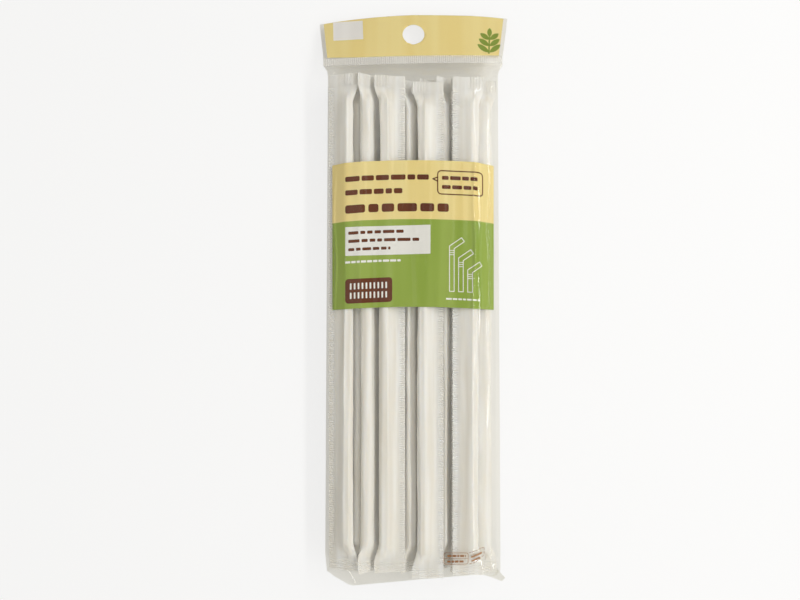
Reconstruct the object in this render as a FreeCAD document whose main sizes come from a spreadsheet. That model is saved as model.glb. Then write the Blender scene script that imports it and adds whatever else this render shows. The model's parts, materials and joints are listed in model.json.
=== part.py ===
"""A retail bag of twenty paper-wrapped drinking straws, lying on its back.

The bag is one length of clear film: a pouch that is folded along the bottom, welded at its sides and
closed at the top by a flat seal, above which the film goes on as a header with a round hang hole.
Each straw is sealed in a sleeve of paper that is folded round it, crimped flat along one long edge
and crimped flat across both ends. +X is across the bag, +Y runs towards the header, +Z is up.
"""

import FreeCAD
import Part
import Sketcher
import math
import os
import re

SIZES = [
    ("straw_diameter", 6.0, "outside of the straw"),
    ("straw_length", 207.0, "straw with its bellows closed up"),
    ("paper_play", 0.15, "sleeve wall and slack over the straw"),
    ("paper_thickness", 0.3, "two plies of crimped paper, pressed together"),
    ("seam_width", 3.1, "crimped strip along the sleeve's long edge"),
    ("seam_reach", 5.9, "from the straw's axis to the inside of the strip"),
    ("fold_reach", 5.6, "from the straw's axis to the fold where the sleeve is flat"),
    ("fold_height", 2.0, "rounded stretch at the fold, over the straw"),
    ("crimp_length", 5.5, "crimped flat stretch across each end"),
    ("end_taper", 4.0, "from the crimp to the end of the full round stretch"),
    ("nest_radius", 0.35, "largest sleeve radius for which the places hold, in sleeve reaches"),
    ("nest_fold", 0.6223, "largest fold reach for which the places hold, in sleeve reaches"),
    ("stack_half", 4.333, "middle of the stack to its side, in sleeve reaches"),
    ("stack_height", 2.2, "height of the whole stack, in sleeve reaches"),
    ("stack_aside", -0.3, "middle of the stack from the middle of the bag, across"),
    ("stack_along", -10.0, "middle of the stack from the middle of the bag, along"),
    ("film_thickness", 0.25, "one wall of the bag"),
    ("film_gap", 0.1, "film to the stack of straws"),
    ("back_sag", 0.03, "how far the lofted film would sink below the surface that presses it flat"),
    ("bag_spread", 1.2, "how much further each side stands out near the bottom"),
    ("bag_corner", 8.5, "rounding of the filled bag's long edges at the back"),
    ("slope_left", 9.2, "how far across the front runs down to the left side"),
    ("slope_right", 11.4, "how far across the front runs down to the right side"),
    ("slope_angle", 34.7, "degrees by which the film slopes there, over the outer straws"),
    ("corner_fill", 7.0, "how far up from the pack's foot the folded-under corner still takes width"),
    ("end_room", 1.5, "how far the full height goes on past the stack's ends"),
    ("top_slope", 5.5, "length in which the pouch narrows to the seal"),
    ("bottom_slope", 8.2, "length in which the pouch narrows to the bottom fold"),
    ("corner_fold", 11.5, "how far the folded-under left corner cuts in across the bag"),
    ("bottom_skew", 5.2, "degrees by which the bottom fold runs out of square"),
    ("ear_reach", 6.0, "how far the film ear stands out past the bottom fold"),
    ("ear_length", 5.0, "the ear along the bag"),
    ("seal_height", 3.6, "ribbed seal across the top"),
    ("seal_flare", 2.3, "how far the seal's ends stand out past the pouch"),
    ("seal_level", 9.2, "height of the seal above the table"),
    ("seal_arch", 0.8, "rise of the seal's middle over its ends"),
    ("header_length", 21.7, "header from the seal to its top edge, seen from above"),
    ("header_flare", 3.2, "how far the header's corners stand out past the seal"),
    ("header_level", 2.4, "height of the header's top corners above the table"),
    ("header_crown", 3.0, "how far the top edge's middle stands past its corners"),
    ("header_skew", 3.4, "how far the right top corner stands past the left one"),
    ("header_arch", 2.4, "rise of the header's top edge at its middle"),
    ("hang_hole_diameter", 10.2, "round hole for a display hook"),
    ("hang_hole_inset", 10.0, "hole centre to the header's top edge, seen from above"),
]

# What follows from the sizes. Each line may use the sizes and the lines before it.
DERIVED = [
    ("sleeve_radius", "straw_diameter / 2 + paper_play"),
    ("seam_tip", "seam_reach + seam_width"),
    ("reach", "max(seam_tip; sleeve_radius / nest_radius; fold_reach / nest_fold)"),
    ("round_half", "straw_length / 2"),
    ("crimp_half", "round_half + end_taper"),
    ("sleeve_half", "crimp_half + crimp_length"),
    ("half_paper", "paper_thickness / 2"),
    ("half_fold", "fold_height / 2"),
    ("fold_root", "sqrt(sleeve_radius * sleeve_radius - half_fold * half_fold)"),
    ("straw_floor", "film_thickness + film_gap"),
    ("seam_sheet", "2 * film_thickness"),
    ("bag_height", "stack_height * reach + 2 * straw_floor"),
    ("side", "stack_half * reach + film_gap + film_thickness"),
    ("bag_right", "side + stack_aside"),
    ("bag_left", "side - stack_aside"),
    ("full_top", "stack_along + sleeve_half + end_room"),
    ("full_bottom", "stack_along - sleeve_half - end_room"),
    ("filled_low", "full_bottom + corner_fill"),
    ("slope_steep", "tan(slope_angle)"),
    ("slope_less_run", "1 - tan(slope_angle / 2)"),
    ("slope_less_drop", "1 - tan((90 - slope_angle) / 2)"),
    ("fold_place", "full_bottom - bottom_slope"),
    ("seal_place", "full_top + top_slope"),
    ("seal_end", "seal_place + seal_height"),
    ("header_end", "seal_end + header_length"),
    ("header_half", "side + seal_flare + header_flare"),
    ("fold_left", "bag_left + bag_spread - corner_fold"),
    ("fold_right", "bag_right - bag_spread"),
    ("ear_fold", "fold_place + fold_right * tan(bottom_skew)"),
    ("back_low", "fold_place - 2 * ear_length"),
    ("back_reach", "-back_low"),
    ("hole_place", "header_end - hang_hole_inset"),
    ("header_drop", "seal_level + seal_arch - header_level - header_arch"),
    ("header_tilt", "atan(header_drop / header_length)"),
    ("hole_radius", "hang_hole_diameter / 2"),
    ("punch", "2 * seal_level"),
    ("hole_level", "header_level + header_arch + hang_hole_inset * tan(header_tilt)"),
    ("punch_place", "hole_place + punch / 2 * sin(header_tilt)"),
    ("punch_level", "hole_level + punch / 2 * cos(header_tilt)"),
    ("cut_right", "header_half + header_flare"),
    ("cut_far", "header_end + header_crown"),
    ("cut_corner_right", "header_end - header_crown + header_skew / 2"),
    ("cut_corner_left", "header_end - header_crown - header_skew / 2"),
    ("cut_chord", "sqrt(4 * cut_right * cut_right + header_skew * header_skew)"),
    ("cut_radius", "(cut_chord * cut_chord / 4 + header_crown * header_crown) / (2 * header_crown)"),
]

# The filled pouch, from the bottom fold to the seal. Each row: name, place along the bag, half widths
# to the left and right, lowest and highest point, corner rounding at the back, and skew in degrees.
POUCH = [
    ("slope_low", "fold_place + 0.18 * bottom_slope", "fold_left + 0.1 * corner_fold",
     "fold_right + 0.5 * bag_spread", "-back_sag", "0.34 * bag_height", "0.16 * bag_height", "0.85 * bottom_skew"),
    ("slope_high", "fold_place + 0.57 * bottom_slope", "fold_left + 0.45 * corner_fold",
     "fold_right + 1.2 * bag_spread", "-back_sag", "0.76 * bag_height", "0.3 * bag_height", "0.4 * bottom_skew"),
    ("full_low", "full_bottom", "fold_left + 0.92 * corner_fold",
     "bag_right + bag_spread", "-back_sag", "bag_height", "bag_corner", "0"),
    ("full_corner", "filled_low", "bag_left + bag_spread",
     "bag_right + bag_spread", "-back_sag", "bag_height", "bag_corner", "0"),
    ("full_high", "full_top", "bag_left", "bag_right", "-back_sag", "bag_height", "bag_corner", "0"),
    ("slope_top", "full_top + 0.5 * top_slope", "bag_left + 0.2 * seal_flare",
     "bag_right + 0.2 * seal_flare", "0.32 * seal_level", "seal_level + 0.62 * (bag_height - seal_level)",
     "0.28 * bag_height", "0"),
]

# The flat sheets of film. Each row: name, place along the bag, half widths to the left and right,
# height of its edges, thickness, rise of its middle, and skew in degrees.
SHEETS = [
    ("fold_edge", "fold_place", "fold_left", "fold_right", "film_thickness", "seam_sheet", "film_thickness",
     "bottom_skew"),
    ("cavity_fold", "fold_place + 2 * seam_sheet", "fold_left", "fold_right", "2 * film_thickness",
     "0.6 * film_thickness", "film_thickness", "0.95 * bottom_skew"),
    ("cavity_seal", "seal_place - 2 * seam_sheet", "bag_left", "bag_right", "seal_level",
     "0.6 * film_thickness", "seal_arch", "0"),
    ("seal_low", "seal_place", "bag_left + seal_flare", "bag_right + seal_flare", "seal_level", "seam_sheet",
     "seal_arch", "0"),
    ("seal_high", "seal_end", "bag_left + seal_flare", "bag_right + seal_flare", "seal_level", "seam_sheet",
     "seal_arch", "0"),
    ("header", "header_end", "header_half", "header_half", "header_level", "seam_sheet", "header_arch", "0"),
]

# Corners of the film ear, as seen from above, from the right end of the bottom fold.
EAR = [
    ("fold_right - ear_length", "0.6 * ear_length"),
    ("fold_right - ear_length", "-0.06 * ear_length"),
    ("fold_right + 0.75 * ear_reach", "-0.8 * ear_length"),
    ("fold_right + ear_reach", "-0.5 * ear_length"),
    ("fold_right + 0.25 * ear_reach", "0.6 * ear_length"),
]

# One row for each wrapped straw: how far across and how high its axis lies, in sleeve reaches from
# the middle of the stack and from the floor, the degrees by which its seam is lifted, the side that
# the seam points to, and how far the straw has slid along the bag. The first six lie at the front.
STRAWS = [
    ("wrapped_straw_01", -3.342, 1.770, -19, -1, 0.8),
    ("wrapped_straw_02", -2.351, 1.766, -38, 1, 0.4),
    ("wrapped_straw_03", -1.389, 1.835, -10, 1, 0.0),
    ("wrapped_straw_04", 0.538, 1.841, -2, 1, -2.6),
    ("wrapped_straw_05", 2.975, 1.843, 3, -1, -0.8),
    ("wrapped_straw_06", 3.686, 1.346, 7, -1, -1.2),
    ("wrapped_straw_07", -3.738, 1.062, -24, 1, 0.3),
    ("wrapped_straw_08", -2.847, 1.215, -12, 1, 0.2),
    ("wrapped_straw_09", -0.975, 1.143, -22, 1, -0.2),
    ("wrapped_straw_10", -0.140, 1.270, -36, 1, -0.9),
    ("wrapped_straw_11", 0.846, 1.112, -23, 1, 0.1),
    ("wrapped_straw_12", 1.634, 1.300, -34, 1, 0.4),
    ("wrapped_straw_13", 2.696, 1.069, 39, -1, -0.3),
    ("wrapped_straw_14", -3.478, 0.356, -18, 1, 0.6),
    ("wrapped_straw_15", -2.395, 0.423, -21, 1, 0.0),
    ("wrapped_straw_16", -1.497, 0.604, -26, 1, -0.4),
    ("wrapped_straw_17", -0.274, 0.425, -17, 1, 0.3),
    ("wrapped_straw_18", 1.030, 0.378, -20, 1, -0.2),
    ("wrapped_straw_19", 2.078, 0.420, -20, 1, 0.1),
    ("wrapped_straw_20", 3.592, 0.481, -3, -1, -0.4),
]

# A section's eight edges in order, for the filled pouch and for the flat sheets alike.
BACK, BACK_RIGHT, RIGHT, FRONT_RIGHT, FRONT, FRONT_LEFT, LEFT, BACK_LEFT = range(8)

ORIGIN = (-1, 1)
ACROSS_AXIS = -1
UP_AXIS = -2
START = 1
END = 2
CENTRE = 3
FLAT = FreeCAD.Vector(0, 0, 1)

SIZE_NAMES = {name for name, size, note in SIZES}

doc = FreeCAD.newDocument("StrawBag")
sheet = doc.addObject("Spreadsheet::Sheet", "Sizes")
derived = doc.addObject("App::VarSet", "Derived")


def fill_sheet():
    """Writes the driving sizes into the sheet, one to a row, each with its alias."""
    for row, (name, size, note) in enumerate(SIZES, start=1):
        sheet.set(f"A{row}", name)
        sheet.set(f"B{row}", str(size))
        sheet.set(f"C{row}", note)
        sheet.setAlias(f"B{row}", name)
    doc.recompute()


def bound(text):
    """Puts the owner in front of each size that an expression names."""
    def owner(match):
        word = match.group(0)
        if word in SIZE_NAMES:
            return "Sizes." + word
        if word in derived.PropertiesList:
            return "Derived." + word
        return word
    return re.sub(r"[a-z][a-z_0-9]*", owner, text)


def derive(name, text):
    """Adds a value that follows from the sizes, and returns what it comes to."""
    expression = bound(text)
    derived.addProperty("App::PropertyFloat", name)
    derived.setExpression(name, expression)
    derived.recompute()
    return getattr(derived, name)


def value(name):
    """What a size or a derived value comes to."""
    if name in SIZE_NAMES:
        return float(getattr(sheet, name))
    return getattr(derived, name)


def new_sketch(body, name, role):
    """An empty sketch on one of the body's own origin planes."""
    sketch = body.newObject("Sketcher::SketchObject", name)
    for feature in body.Origin.OriginFeatures:
        if feature.Role == role:
            sketch.AttachmentSupport = (feature, [""])
    sketch.MapMode = "FlatFace"
    return sketch


def cross_section(body, name, place):
    """An empty sketch across the bag, at a place along it."""
    sketch = new_sketch(body, name, "XZ_Plane")
    sketch.setExpression("AttachmentOffset.Base.z", "-(" + bound(place) + ")")
    return sketch


def dimension(sketch, kind, where, name):
    """A dimension of a sketch that is bound to a size or a derived value."""
    index = sketch.addConstraint(Sketcher.Constraint(kind, *where, value(name)))
    sketch.setExpression(f"Constraints[{index}]", bound(name))


def join(sketch, kind, pairs):
    """Joins the ends of neighbouring edges, each pair given as edge, end, edge, end."""
    for pair in pairs:
        sketch.addConstraint(Sketcher.Constraint(kind, *pair))


def line(start, end):
    """A straight edge between two points of a sketch."""
    return Part.LineSegment(FreeCAD.Vector(*start, 0), FreeCAD.Vector(*end, 0))


def arc(centre, radius, start, end):
    """A round edge, anticlockwise between two angles in radians."""
    circle = Part.Circle(FreeCAD.Vector(*centre, 0), FLAT, radius)
    return Part.ArcOfCircle(circle, start, end)


def round_sleeve(body, name, place):
    """The sleeve's section over the straw: paper drawn from the round straw to the crimped strip."""
    sketch = cross_section(body, name, place)
    radius = value("sleeve_radius")
    root = value("seam_reach")
    tip = value("seam_tip")
    half = value("half_paper")
    touch = math.atan2(half, root) + math.acos(radius / math.hypot(root, half))
    fold = math.pi - math.asin(value("half_fold") / radius)
    touch_point = (radius * math.cos(touch), radius * math.sin(touch))
    mirror_point = (touch_point[0], -touch_point[1])
    sketch.addGeometry([
        line((tip, -half), (tip, half)),
        line((tip, half), (root, half)),
        line((root, half), touch_point),
        arc((0, 0), radius, touch, fold),
        arc((0, 0), radius, fold, 2 * math.pi - fold),
        arc((0, 0), radius, 2 * math.pi - fold, 2 * math.pi - touch),
        line(mirror_point, (root, -half)),
        line((root, -half), (tip, -half)),
    ], False)
    join(sketch, "Coincident", [(0, END, 1, START), (1, END, 2, START), (3, END, 4, START),
                                (4, END, 5, START), (6, END, 7, START), (7, END, 0, START)])
    join(sketch, "Tangent", [(2, END, 3, START), (5, END, 6, START)])
    join(sketch, "Coincident", [(edge, CENTRE) + ORIGIN for edge in (3, 4, 5)])
    join(sketch, "Symmetric", [(0, START, 0, END, ACROSS_AXIS), (1, END, 7, START, ACROSS_AXIS)])
    sketch.addConstraint(Sketcher.Constraint("Horizontal", 1))
    dimension(sketch, "Radius", (4,), "sleeve_radius")
    dimension(sketch, "DistanceX", ORIGIN + (0, END), "seam_tip")
    dimension(sketch, "DistanceX", ORIGIN + (1, END), "seam_reach")
    dimension(sketch, "DistanceY", (0, START, 0, END), "paper_thickness")
    dimension(sketch, "DistanceY", (4, END, 4, START), "fold_height")
    dimension(sketch, "DistanceY", ORIGIN + (4, START), "half_fold")
    return sketch


def end_wedges(body, name):
    """What the tapers take off the round sleeve: four triangles, seen from the sleeve's edge."""
    sketch = new_sketch(body, name, "YZ_Plane")
    inner = value("round_half")
    outer = value("crimp_half") + value("crimp_length")
    thin = value("half_paper")
    thick = value("sleeve_radius")
    for along in (-1, 1):
        for up in (-1, 1):
            first = sketch.GeometryCount
            slope_start = (along * inner, up * thick)
            slope_end = (along * value("crimp_half"), up * thin)
            flat_end = (along * outer, up * thin)
            corner = (along * outer, up * thick)
            points = [slope_start, slope_end, flat_end, corner]
            sketch.addGeometry([line(*ends) for ends in zip(points, points[1:] + points[:1])], False)
            join(sketch, "Coincident",
                 [(first + edge, END, first + (edge + 1) % 4, START) for edge in range(4)])
            sketch.addConstraint(Sketcher.Constraint("Horizontal", first + 1))
            sketch.addConstraint(Sketcher.Constraint("Vertical", first + 2))
            sketch.addConstraint(Sketcher.Constraint("Horizontal", first + 3))
            beside(sketch, "DistanceX", first, along, "round_half")
            beside(sketch, "DistanceX", first + 1, along, "crimp_half")
            beside(sketch, "DistanceX", first + 2, along, "sleeve_half")
            beside(sketch, "DistanceY", first, up, "sleeve_radius")
            beside(sketch, "DistanceY", first + 1, up, "half_paper")
    return sketch


def beside(sketch, kind, edge, direction, name):
    """Sets how far the start of an edge lies from the origin, towards one side or the other."""
    if direction > 0:
        dimension(sketch, kind, ORIGIN + (edge, START), name)
    else:
        dimension(sketch, kind, (edge, START) + ORIGIN, name)


def flat_end(body, name, along):
    """One flat end of the sleeve, seen from its front: the crimp, and the tapering fold behind it."""
    sketch = new_sketch(body, name, "XY_Plane")
    root = value("fold_root")
    fold = value("fold_reach")
    tip = value("seam_tip")
    inner = value("round_half")
    crimp = value("crimp_half")
    outer = value("sleeve_half")
    points = [(-root, along * inner), (tip, along * inner), (tip, along * outer),
              (-fold, along * outer), (-fold, along * crimp)]
    sketch.addGeometry([line(*ends) for ends in zip(points, points[1:] + points[:1])], False)
    join(sketch, "Coincident", [(edge, END, (edge + 1) % 5, START) for edge in range(5)])
    for edge in (0, 2):
        sketch.addConstraint(Sketcher.Constraint("Horizontal", edge))
    for edge in (1, 3):
        sketch.addConstraint(Sketcher.Constraint("Vertical", edge))
    beside(sketch, "DistanceX", 0, -1, "fold_root")
    beside(sketch, "DistanceX", 1, 1, "seam_tip")
    beside(sketch, "DistanceX", 3, -1, "fold_reach")
    beside(sketch, "DistanceY", 0, along, "round_half")
    beside(sketch, "DistanceY", 2, along, "sleeve_half")
    beside(sketch, "DistanceY", 4, along, "crimp_half")
    return sketch


def pad_both_ways(body, name, sketch, length):
    """Pads a sketch to both sides of its plane, to a total length that a derived value gives."""
    pad = body.newObject("PartDesign::Pad", name)
    pad.Profile = sketch
    pad.Midplane = True
    pad.setExpression("Length", bound(length))
    sketch.Visibility = False
    return pad


def loft(body, kind, name, sections):
    """A ruled loft through sketches, added to the body or taken from it."""
    feature = body.newObject(kind, name)
    feature.Profile = sections[0]
    feature.Sections = [(section, [""]) for section in sections[1:]]
    feature.Ruled = True
    for section in sections:
        section.Visibility = False
    return feature


def wrapped_straw(label, across, height, roll, side, slide):
    """A straw sealed in its paper sleeve: round over the straw, flat along one edge and at both ends."""
    body = doc.addObject("PartDesign::Body", label)
    body.Label = label
    pad_both_ways(body, label + "_round", round_sleeve(body, label + "_section", "0"), "2 * crimp_half")
    tapers = body.newObject("PartDesign::Pocket", label + "_tapers")
    tapers.Profile = end_wedges(body, label + "_wedges")
    tapers.Type = "ThroughAll"
    tapers.Midplane = True
    for suffix, along in (("_top_end", 1), ("_bottom_end", -1)):
        outline = flat_end(body, label + suffix + "_outline", along)
        pad_both_ways(body, label + suffix, outline, "paper_thickness")
    lift = FreeCAD.Rotation(FreeCAD.Vector(0, 1, 0), -roll * side)
    turn = FreeCAD.Rotation(FLAT, 0 if side > 0 else 180)
    body.Placement = FreeCAD.Placement(FreeCAD.Vector(), lift.multiply(turn))
    body.setExpression("Placement.Base.x", bound(f"stack_aside + {across} * reach"))
    body.setExpression("Placement.Base.y", bound(f"stack_along + {slide}"))
    body.setExpression("Placement.Base.z", bound(f"straw_floor + {height} * reach"))
    return body


def pouch_section(body, row, inset):
    """The filled pouch's section, drawn in by an inset: round at the back, sloping at the front.

    The film runs straight from the outer straws of the front down to the sides. Seen from inside, a
    slope is a little shorter, so that the film is as thick there as elsewhere.
    """
    name, place, left, right, low, high, corner, skew = row
    if inset != "0":
        name = "cavity_" + name
    derive(name + "_left", f"{left} - {inset}")
    derive(name + "_right", f"{right} - {inset}")
    derive(name + "_high", f"{high} - {inset}")
    derive(name + "_height", f"{high} - {low} - 2 * {inset}")
    derive(name + "_corner", f"{corner} - {inset}")
    share = f"({corner}) / bag_corner"
    for side in ("left", "right"):
        derive(f"{name}_run_{side}", f"slope_{side} * {share} - {inset} * slope_less_run")
        derive(f"{name}_drop_{side}", f"slope_{side} * slope_steep * {share} - {inset} * slope_less_drop")
    x_left = -value(name + "_left")
    x_right = value(name + "_right")
    top = value(name + "_high")
    bottom = top - value(name + "_height")
    radius = value(name + "_corner")
    front_left = x_left + value(name + "_run_left")
    front_right = x_right - value(name + "_run_right")
    side_left = top - value(name + "_drop_left")
    side_right = top - value(name + "_drop_right")
    sketch = cross_section(body, name, place)
    turn_sketch(sketch, skew)
    quarter = math.pi / 2
    sketch.addGeometry([
        line((x_left + radius, bottom), (x_right - radius, bottom)),
        arc((x_right - radius, bottom + radius), radius, -quarter, 0),
        line((x_right, bottom + radius), (x_right, side_right)),
        line((x_right, side_right), (front_right, top)),
        line((front_right, top), (front_left, top)),
        line((front_left, top), (x_left, side_left)),
        line((x_left, side_left), (x_left, bottom + radius)),
        arc((x_left + radius, bottom + radius), radius, 2 * quarter, 3 * quarter),
    ], False)
    join(sketch, "Tangent", [(BACK, END, BACK_RIGHT, START), (BACK_RIGHT, END, RIGHT, START),
                             (LEFT, END, BACK_LEFT, START), (BACK_LEFT, END, BACK, START)])
    join(sketch, "Coincident", [(edge, END, edge + 1, START) for edge in range(RIGHT, LEFT)])
    for edge in (BACK, FRONT):
        sketch.addConstraint(Sketcher.Constraint("Horizontal", edge))
    for edge in (RIGHT, LEFT):
        sketch.addConstraint(Sketcher.Constraint("Vertical", edge))
    join(sketch, "Equal", [(BACK_RIGHT, BACK_LEFT)])
    dimension(sketch, "Radius", (BACK_RIGHT,), name + "_corner")
    dimension(sketch, "DistanceX", ORIGIN + (RIGHT, START), name + "_right")
    dimension(sketch, "DistanceX", (LEFT, START) + ORIGIN, name + "_left")
    dimension(sketch, "DistanceY", ORIGIN + (FRONT, START), name + "_high")
    dimension(sketch, "DistanceY", (BACK, START, FRONT, END), name + "_height")
    dimension(sketch, "DistanceX", (FRONT_RIGHT, END, FRONT_RIGHT, START), name + "_run_right")
    dimension(sketch, "DistanceY", (FRONT_RIGHT, START, FRONT_RIGHT, END), name + "_drop_right")
    dimension(sketch, "DistanceX", (FRONT_LEFT, END, FRONT_LEFT, START), name + "_run_left")
    dimension(sketch, "DistanceY", (FRONT_LEFT, END, FRONT_LEFT, START), name + "_drop_left")
    return sketch


def turn_sketch(sketch, skew):
    """Turns a section out of square about the vertical, by an angle that the sizes give."""
    if skew == "0":
        return
    angle = derive(sketch.Name + "_skew", skew)
    upright = FreeCAD.Vector(0, 1, 0)
    place = sketch.AttachmentOffset.Base
    sketch.AttachmentOffset = FreeCAD.Placement(place, FreeCAD.Rotation(upright, angle))
    sketch.setExpression("AttachmentOffset.Rotation.Angle", bound(sketch.Name + "_skew"))


def sheet_section(body, row):
    """The section of flat film: a thin arched strip, each long edge in three arcs of one circle.

    The outer arcs are what the filled pouch's rounded edges and slopes flatten into.
    """
    name, place, left, right, level, thickness, rise, skew = row
    derive(name + "_left", left)
    derive(name + "_right", right)
    derive(name + "_inner_left", f"{name}_left - bag_corner")
    derive(name + "_inner_right", f"{name}_right - bag_corner")
    derive(name + "_thick", thickness)
    derive(name + "_top", f"{level} + {thickness} / 2")
    chord = f"({name}_left + {name}_right)"
    derive(name + "_bow", f"({chord} * {chord} / 4 + {rise} * {rise}) / (2 * {rise})")
    x_left = -value(name + "_left")
    x_right = value(name + "_right")
    top = value(name + "_top")
    bottom = top - value(name + "_thick")
    bow = value(name + "_bow")
    middle = (x_left + x_right) / 2
    drop = math.sqrt(bow * bow - (x_right - middle) ** 2)
    stops = [x_right, value(name + "_inner_right"), -value(name + "_inner_left"), x_left]
    angles = [math.acos((stop - middle) / bow) for stop in stops]
    under = [arc((middle, bottom - drop), bow, *ends) for ends in zip(angles, angles[1:])]
    over = [arc((middle, top - drop), bow, *ends) for ends in zip(angles, angles[1:])]
    right_side = line((x_right, bottom), (x_right, top))
    left_side = line((x_left, top), (x_left, bottom))
    sketch = cross_section(body, name, place)
    turn_sketch(sketch, skew)
    sketch.addGeometry([under[1], under[0], right_side, over[0], over[1], over[2], left_side,
                        under[2]], False)
    join(sketch, "Coincident", [(BACK_RIGHT, START, RIGHT, START), (LEFT, END, BACK_LEFT, END),
                                (BACK_LEFT, START, BACK, END), (BACK, START, BACK_RIGHT, END),
                                (BACK, CENTRE, BACK_RIGHT, CENTRE), (BACK, CENTRE, BACK_LEFT, CENTRE),
                                (FRONT, CENTRE, FRONT_RIGHT, CENTRE), (FRONT, CENTRE, FRONT_LEFT, CENTRE)])
    join(sketch, "Coincident", [(edge, END, edge + 1, START) for edge in range(RIGHT, LEFT)])
    for edge in (RIGHT, LEFT):
        sketch.addConstraint(Sketcher.Constraint("Vertical", edge))
    dimension(sketch, "DistanceX", ORIGIN + (RIGHT, START), name + "_right")
    dimension(sketch, "DistanceX", (LEFT, START) + ORIGIN, name + "_left")
    dimension(sketch, "DistanceY", (RIGHT, START, RIGHT, END), name + "_thick")
    dimension(sketch, "DistanceY", (LEFT, END, LEFT, START), name + "_thick")
    dimension(sketch, "DistanceY", ORIGIN + (RIGHT, END), name + "_top")
    dimension(sketch, "DistanceY", ORIGIN + (LEFT, START), name + "_top")
    for middle_arc in (BACK, FRONT):
        dimension(sketch, "Radius", (middle_arc,), name + "_bow")
        dimension(sketch, "DistanceX", ORIGIN + (middle_arc, START), name + "_inner_right")
        dimension(sketch, "DistanceX", (middle_arc, END) + ORIGIN, name + "_inner_left")
    return sketch


def top_edge(body):
    """The waste beyond the header's crowned top edge, as a sketch seen from above."""
    sketch = new_sketch(body, "top_edge", "XY_Plane")
    across = value("cut_right")
    right = value("cut_corner_right")
    left = value("cut_corner_left")
    far = value("cut_far")
    radius = value("cut_radius")
    lean = math.atan2(right - left, 2 * across)
    half = math.asin(value("cut_chord") / 2 / radius)
    middle = (0, (left + right) / 2)
    drop = radius * math.cos(half)
    centre = (middle[0] + drop * math.sin(lean), middle[1] - drop * math.cos(lean))
    quarter = math.pi / 2
    sketch.addGeometry([
        arc(centre, radius, quarter + lean - half, quarter + lean + half),
        line((across, right), (across, far)),
        line((across, far), (-across, far)),
        line((-across, far), (-across, left)),
    ], False)
    join(sketch, "Coincident", [(0, START, 1, START), (1, END, 2, START), (2, END, 3, START),
                                (3, END, 0, END)])
    for edge in (1, 3):
        sketch.addConstraint(Sketcher.Constraint("Vertical", edge))
    sketch.addConstraint(Sketcher.Constraint("Horizontal", 2))
    dimension(sketch, "DistanceX", ORIGIN + (1, START), "cut_right")
    dimension(sketch, "DistanceX", (3, START) + ORIGIN, "cut_right")
    dimension(sketch, "DistanceY", ORIGIN + (1, START), "cut_corner_right")
    dimension(sketch, "DistanceY", ORIGIN + (3, END), "cut_corner_left")
    dimension(sketch, "DistanceY", ORIGIN + (2, START), "cut_far")
    dimension(sketch, "Radius", (0,), "cut_radius")
    return sketch


def hang_hole_circle(body):
    """The punched hole's circle, square to the sloping header and above it."""
    sketch = new_sketch(body, "hang_hole_circle", "XY_Plane")
    tilt = FreeCAD.Rotation(FreeCAD.Vector(-1, 0, 0), value("header_tilt"))
    sketch.AttachmentOffset = FreeCAD.Placement(FreeCAD.Vector(), tilt)
    sketch.setExpression("AttachmentOffset.Rotation.Angle", bound("header_tilt"))
    sketch.setExpression("AttachmentOffset.Base.y", bound("punch_place"))
    sketch.setExpression("AttachmentOffset.Base.z", bound("punch_level"))
    sketch.addGeometry(Part.Circle(FreeCAD.Vector(), FLAT, value("hole_radius")), False)
    join(sketch, "Coincident", [(0, CENTRE) + ORIGIN])
    dimension(sketch, "Radius", (0,), "hole_radius")
    return sketch


def ear_outline(body):
    """The film ear at the bottom right, a flat corner of the folded film, seen from above."""
    sketch = new_sketch(body, "ear_outline", "XY_Plane")
    points = []
    for mark, (across, along) in enumerate(EAR):
        x_place = derive(f"ear_across_{mark}", across)
        y_place = -derive(f"ear_down_{mark}", f"-(ear_fold + {along})")
        points.append((x_place, y_place))
    count = len(points)
    sketch.addGeometry([line(*ends) for ends in zip(points, points[1:] + points[:1])], False)
    join(sketch, "Coincident", [(edge, END, (edge + 1) % count, START) for edge in range(count)])
    for edge in range(count):
        dimension(sketch, "DistanceX", ORIGIN + (edge, START), f"ear_across_{edge}")
        dimension(sketch, "DistanceY", (edge, START) + ORIGIN, f"ear_down_{edge}")
    return sketch


def back_outline(body):
    """Where the surface under the pack presses the film flat, as seen from above."""
    sketch = new_sketch(body, "back_outline", "XY_Plane")
    right = value("header_half")
    low = value("back_low")
    high = value("seal_place")
    points = [(-right, low), (right, low), (right, high), (-right, high)]
    sketch.addGeometry([line(*ends) for ends in zip(points, points[1:] + points[:1])], False)
    join(sketch, "Coincident", [(edge, END, (edge + 1) % 4, START) for edge in range(4)])
    for edge in (0, 2):
        sketch.addConstraint(Sketcher.Constraint("Horizontal", edge))
    for edge in (1, 3):
        sketch.addConstraint(Sketcher.Constraint("Vertical", edge))
    dimension(sketch, "DistanceX", ORIGIN + (1, START), "header_half")
    dimension(sketch, "DistanceX", (3, START) + ORIGIN, "header_half")
    dimension(sketch, "DistanceY", (0, START) + ORIGIN, "back_reach")
    dimension(sketch, "DistanceY", ORIGIN + (2, START), "seal_place")
    return sketch


def cut_through(body, name, sketch, upwards):
    """Takes a sketch's outline out of the body, and makes sure that something was cut."""
    before = body.Shape.Volume
    pocket = body.newObject("PartDesign::Pocket", name)
    pocket.Profile = sketch
    pocket.Type = "ThroughAll"
    pocket.Reversed = upwards
    sketch.Visibility = False
    doc.recompute()
    if not body.Shape.Volume < before:
        raise RuntimeError(f"{name} cut nothing")


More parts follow.
